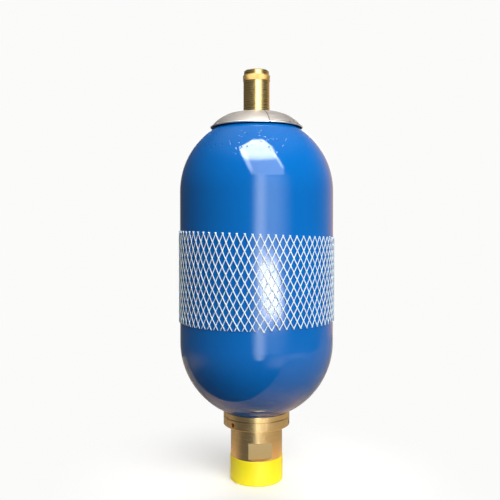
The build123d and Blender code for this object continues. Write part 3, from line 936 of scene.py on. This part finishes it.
# %% [markdown]
# Gloss paint and metal show their lights as pictures, so the shape of each light matters more than its
# strength. Here the lights come in two kinds. The mirrored ones are glowing patches on a wide sphere
# round the vessel, drawn by azimuth and elevation, and only gloss sees them. The filling ones are
# plain panels that gloss doesn't see, and they give paint and plastic their colour. A patch is a grid
# that is bent onto the sphere, with a brightness kept at each vertex. It is also clear, so that
# patches which overlap add up, and each lies 5 mm further out than the last.

# %% Mirrored lights
middle = Vector((0, 0, 0.26))
patch_distance = 3.0
patch_step = 5 * millimetre


def between(stations, height, column):
    """The value of one column of the stations at a height, from the two stations round it."""
    for low, high in zip(stations, stations[1:]):
        if height <= high[0]:
            share = (height - low[0]) / (high[0] - low[0])
            return low[column] + share * (high[column] - low[column])
    return stations[-1][column]


def glowing_patch(name, colour, soft_sides, soft_ends, stations):
    """A light on the sphere. Each station is elevation, left and right azimuth, and brightness."""
    low, high = stations[0][0], stations[-1][0]
    distance = patch_distance + patch_step * len(scene.objects)
    bm = bmesh.new()
    bmesh.ops.create_grid(bm, x_segments=20, y_segments=20, size=0.5)
    glow = bm.verts.layers.float.new("glow")
    for vert in bm.verts:
        across, up = vert.co.x + 0.5, vert.co.y + 0.5
        elevation = low + up * (high - low)
        left = between(stations, elevation, 1)
        right = between(stations, elevation, 2)
        azimuth = left + across * (right - left)
        shape = eased(min(across, 1 - across), soft_sides) * eased(min(up, 1 - up), soft_ends)
        vert[glow] = between(stations, elevation, 3) * shape
        flat = distance * cos(radians(elevation))
        vert.co = seen_from(azimuth, flat, middle.z + distance * sin(radians(elevation)))
    material, tree = new_material(name)[:2]
    stored = add_node(tree, "ShaderNodeAttribute", attribute_name="glow")
    light = add_node(
        tree, "ShaderNodeEmission", {"Color": linear(colour), "Strength": stored.outputs["Fac"]}
    )
    clear = add_node(tree, "ShaderNodeBsdfTransparent")
    both = add_node(tree, "ShaderNodeAddShader", {0: light.outputs[0], 1: clear.outputs[0]})
    tree.links.new(both.outputs[0], tree.nodes["Material Output"].inputs["Surface"])
    patch = stage_piece(name, bm, material)
    patch.visible_camera = False
    patch.visible_diffuse = False
    patch.visible_shadow = False


pane = [(21, -9, 44, 4.2), (29, -12, 45, 4.4), (45, -23, 41, 4.6), (60, -45, 43, 5.0)]
left_light = [(24, -10, -2, 3.0), (42, -22, -10, 6.0), (60, -45, -22, 9.0)]
right_light = [(28, 40, 47, 8.0), (45, 35, 43, 10.0), (55, 30, 40, 12.0)]
lintel = [(42, -21, 41, 8.0), (52, -33, 41, 16.0), (62, -49, 46, 20.0), (80, -20, 32, 24.0)]
below_core = [(-22, -4, 12, 4.2), (-15, -9, 18, 4.4), (24, -8, 20, 3.6)]
below_haze = [(-15, -16, 58, 3.0), (26, -14, 58, 2.9)]
lamp_glow = [(-10.5, 7, 48, 27.0), (-2.0, -8, 36, 27.0)]
table_front = [(-36, 6, 92, 1.2), (-10, 6, 92, 1.2)]
table_left = [(-32, -145, -60, 0.4), (-13, -145, -60, 0.4)]
behind_glow = [(8, 165, 195, 1.6), (40, 165, 195, 1.6)]
glowing_patch("window_pane", "#eef5ff", 0.04, 0.06, pane)
glowing_patch("window_left_light", "#f2f8ff", 0.3, 0.2, left_light)
glowing_patch("window_right_light", "#f2f8ff", 0.4, 0.2, right_light)
glowing_patch("window_lintel", "#f8faff", 0.08, 0.12, lintel)
glowing_patch("window_below_core", "#f4f8f8", 0.5, 0.06, below_core)
glowing_patch("window_below_haze", "#e8f2ff", 0.5, 0.2, below_haze)
glowing_patch("lamp", "#fff6f2", 0.4, 0.4, lamp_glow)
glowing_patch("window_in_the_table", "#fff8ea", 0.3, 0.45, table_front)
glowing_patch("table_on_the_left", "#ffe2c4", 0.5, 0.4, table_left)
glowing_patch("back_window", "#ffffff", 0.1, 0.1, behind_glow)
print("Glowing patches: 10")

# %% [markdown]
# The filling panels are white area lights. They are set by the brightness that a mirror would show,
# like the patches, and then hidden from gloss. The strong one in front stands a little to the right,
# which leaves the enamel's left side darker.

# %% Filling lights
panel_distance = 1.6
panel_height = 1.0


def soft_panel(name, azimuth, elevation, width, brightness):
    """A rectangular light that faces the vessel's middle, with its brightness as mirrored."""
    data = bpy.data.lights.new(name, "AREA")
    data.shape = "RECTANGLE"
    data.size = width
    data.size_y = panel_height
    data.energy = brightness * pi * width * panel_height
    lamp = bpy.data.objects.new(name, data)
    scene.collection.objects.link(lamp)
    flat = panel_distance * cos(radians(elevation))
    lamp.location = seen_from(azimuth, flat, middle.z + panel_distance * sin(radians(elevation)))
    lamp.rotation_euler = (middle - lamp.location).to_track_quat("-Z", "Y").to_euler()
    lamp.visible_glossy = False


soft_panel("front_fill", 25, 34, 1.2, 8.7)
soft_panel("left_fill", -75, 20, 0.8, 0.2)
soft_panel("back_fill", 180, 40, 1.2, 4.0)

# %% [markdown]
# The room is dim in front of the vessel, so the enamel stays deep, and a warm beige behind it, which is
# what the rims of vessel and metal mirror. Three layers by height then make it brighter overhead and
# just below the horizon, and darker at the very bottom.

# %% Room
room_strength = 0.14
beige_side = 150
beige_narrowness = 6.0
room_layers = ((0.6, 1.0, 0.8), (-0.05, -0.2, 0.08), (-0.45, -0.7, -0.1))
world = bpy.data.worlds.new("room")
world.use_nodes = True
scene.world = world
tree = world.node_tree
room = tree.nodes["Background"]
looking = add_node(tree, "ShaderNodeTexCoord").outputs["Generated"]
bright_side = seen_from(beige_side, 1.0, 0.0)
facing = add_node(
    tree,
    "ShaderNodeVectorMath",
    {0: looking, 1: tuple(bright_side)},
    operation="DOT_PRODUCT",
)
facing_only = add_node(
    tree, "ShaderNodeMath", {0: facing.outputs["Value"], 1: 0.0}, operation="MAXIMUM"
)
behind = add_node(
    tree, "ShaderNodeMath", {0: facing_only.outputs[0], 1: beige_narrowness}, operation="POWER"
).outputs[0]
upward = add_node(tree, "ShaderNodeSeparateXYZ", {0: looking}).outputs["Z"]
strength = add_node(tree, "ShaderNodeMath", {0: behind, 1: room_strength}, operation="ADD").outputs[0]
for low, high, change in room_layers:
    layer = add_node(
        tree,
        "ShaderNodeMapRange",
        {0: upward, 1: low, 2: high, 3: 0.0, 4: change},
        interpolation_type="SMOOTHSTEP",
    )
    strength = add_node(
        tree, "ShaderNodeMath", {0: strength, 1: layer.outputs[0]}, operation="ADD"
    ).outputs[0]
wall_colour = add_node(
    tree,
    "ShaderNodeMix",
    {0: behind, 6: linear("#d8d5d2"), 7: linear("#dcb48c")},
    data_type="RGBA",
)
tree.links.new(wall_colour.outputs[2], room.inputs["Color"])
tree.links.new(strength, room.inputs["Strength"])
scene.view_settings.view_transform = "Standard"
scene.view_settings.look = "None"
print("Room layers:", len(room_layers))
